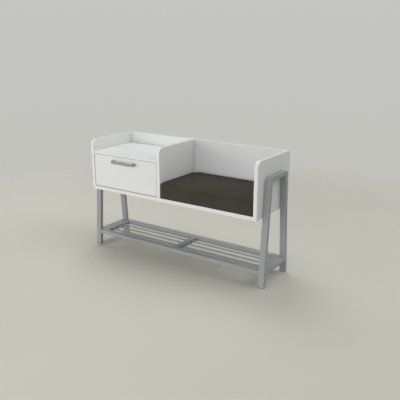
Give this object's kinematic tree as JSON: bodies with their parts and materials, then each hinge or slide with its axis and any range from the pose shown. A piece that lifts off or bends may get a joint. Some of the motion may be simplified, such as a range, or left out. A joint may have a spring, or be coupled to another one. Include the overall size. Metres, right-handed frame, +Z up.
{
  "type": "bench with cabinet",
  "caption": "Hallway bench with an open padded seat bay, a drawer under a small tray, leaning tube leg frames and a slatted shoe shelf below.",
  "frame": {"origin": "on the floor, at the middle of the overall length and of the overall depth, handle included", "axes": "+X along the bench to the seat end, +Y to the back, +Z up; the drawer opens towards -Y"},
  "size_m": [1.06, 0.344, 0.6],
  "materials": {
    "white_board": "satin",
    "drawer_board": "matte",
    "drawer_bottom_board": "matte",
    "beech_dowel": "matte",
    "grey_frame": "satin",
    "glide_plastic": "matte",
    "zinc_steel": "satin",
    "runner_steel": "satin",
    "handle_metal": "satin",
    "roller_nylon": "satin",
    "seat_fabric": "matte"
  },
  "bodies": {
    "bench": {"left_side_panel": "white_board", "right_side_panel": "white_board", "divider_panel": "white_board", "bottom_panel": "white_board", "back_panel": "white_board", "cabinet_top": "white_board", "carcass_dowels": "beech_dowel", "cam_locks": "zinc_steel", "cam_bolts": "zinc_steel", "divider_screws": "zinc_steel", "left_front_leg": "grey_frame", "left_rear_leg": "grey_frame", "left_frame_top_bar": "grey_frame", "left_frame_lower_bar": "grey_frame", "right_front_leg": "grey_frame", "right_rear_leg": "grey_frame", "right_frame_top_bar": "grey_frame", "right_frame_lower_bar": "grey_frame", "foot_glides": "glide_plastic", "shelf_front_rail": "grey_frame", "shelf_rear_rail": "grey_frame", "shelf_left_end_bar": "grey_frame", "shelf_right_end_bar": "grey_frame", "shelf_middle_bar": "grey_frame", "shelf_left_rods": "grey_frame", "shelf_right_rods": "grey_frame", "frame_bolts": "zinc_steel", "shelf_bolts": "zinc_steel", "weld_nuts": "zinc_steel", "left_cabinet_runner": "runner_steel", "right_cabinet_runner": "runner_steel", "front_roller_pins": "zinc_steel", "cabinet_runner_screws": "zinc_steel"},
    "drawer": {"drawer_front": "white_board", "drawer_left_side": "drawer_board", "drawer_right_side": "drawer_board", "drawer_back": "drawer_board", "drawer_bottom": "drawer_bottom_board", "drawer_dowels": "beech_dowel", "drawer_back_screws": "zinc_steel", "drawer_handle": "handle_metal", "handle_screws": "zinc_steel", "left_drawer_runner": "runner_steel", "right_drawer_runner": "runner_steel", "rear_roller_pins": "zinc_steel", "drawer_runner_screws": "zinc_steel"},
    "cushion": {"seat_cushion": "seat_fabric"},
    "left_front_roller": {"left_front_roller": "roller_nylon"},
    "right_front_roller": {"right_front_roller": "roller_nylon"},
    "left_rear_roller": {"left_rear_roller": "roller_nylon"},
    "right_rear_roller": {"right_rear_roller": "roller_nylon"}
  },
  "joints": [
    {"name": "drawer_slide", "type": "slide", "parent": "bench", "child": "drawer", "axis": [0, -1, 0], "range_m": [0, 0.19]},
    {"name": "cushion_lift", "type": "slide", "parent": "bench", "child": "cushion", "axis": [0, 0, 1], "range_m": [0, 0.25]},
    {"name": "left_front_roller_spin", "type": "hinge", "parent": "bench", "child": "left_front_roller", "pos_m": [-0.47635, -0.114, 0.3796], "axis": [1, 0, 0], "range_deg": [-2, 1560]},
    {"name": "right_front_roller_spin", "type": "hinge", "parent": "bench", "child": "right_front_roller", "pos_m": [-0.06465, -0.114, 0.3796], "axis": [1, 0, 0], "range_deg": [-2, 1560]},
    {"name": "left_rear_roller_spin", "type": "hinge", "parent": "drawer", "child": "left_rear_roller", "pos_m": [-0.47635, 0.116, 0.3795], "axis": [1, 0, 0], "range_deg": [-2, 1560]},
    {"name": "right_rear_roller_spin", "type": "hinge", "parent": "drawer", "child": "right_rear_roller", "pos_m": [-0.06465, 0.116, 0.3795], "axis": [1, 0, 0], "range_deg": [-2, 1560]}
  ],
  "couplings": [
    {"joint": "left_front_roller_spin", "follows": "drawer_slide", "rad_per_m": 142.86},
    {"joint": "right_front_roller_spin", "follows": "drawer_slide", "rad_per_m": 142.86},
    {"joint": "left_rear_roller_spin", "follows": "drawer_slide", "rad_per_m": 142.86},
    {"joint": "right_rear_roller_spin", "follows": "drawer_slide", "rad_per_m": 142.86}
  ]
}
